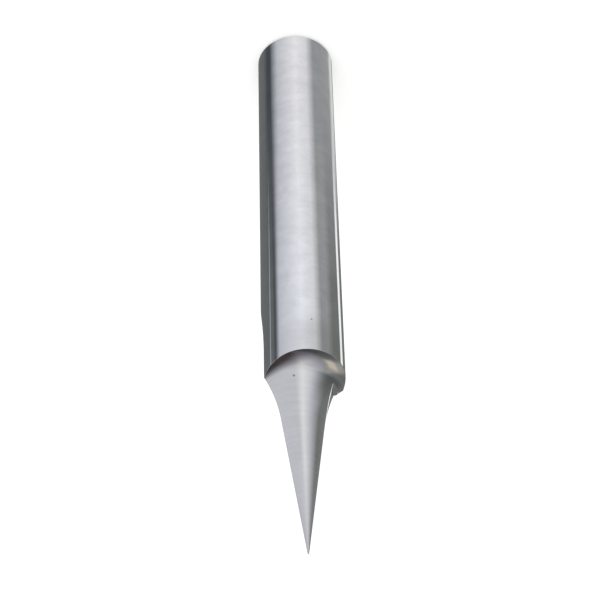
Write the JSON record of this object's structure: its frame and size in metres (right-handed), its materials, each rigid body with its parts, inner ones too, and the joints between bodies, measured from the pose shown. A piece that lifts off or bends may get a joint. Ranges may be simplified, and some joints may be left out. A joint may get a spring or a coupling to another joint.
{
  "type": "v groove router bit",
  "caption": "One-piece half-round V engraving bit: plain round shank, one straight cutting edge on a flat rake face, fine flat point.",
  "frame": {"origin": "centre of the shank end, on the axis of the bit", "axes": "+Z along the axis from the shank end to the point; the rake face looks along +Y and the cutting edge is at +X"},
  "size_m": [0.006, 0.006, 0.05],
  "materials": {
    "carbide": "centreless-ground and polished shank, finely wheel-ground head"
  },
  "bodies": {
    "root": {"router_bit": "carbide"}
  },
  "joints": []
}
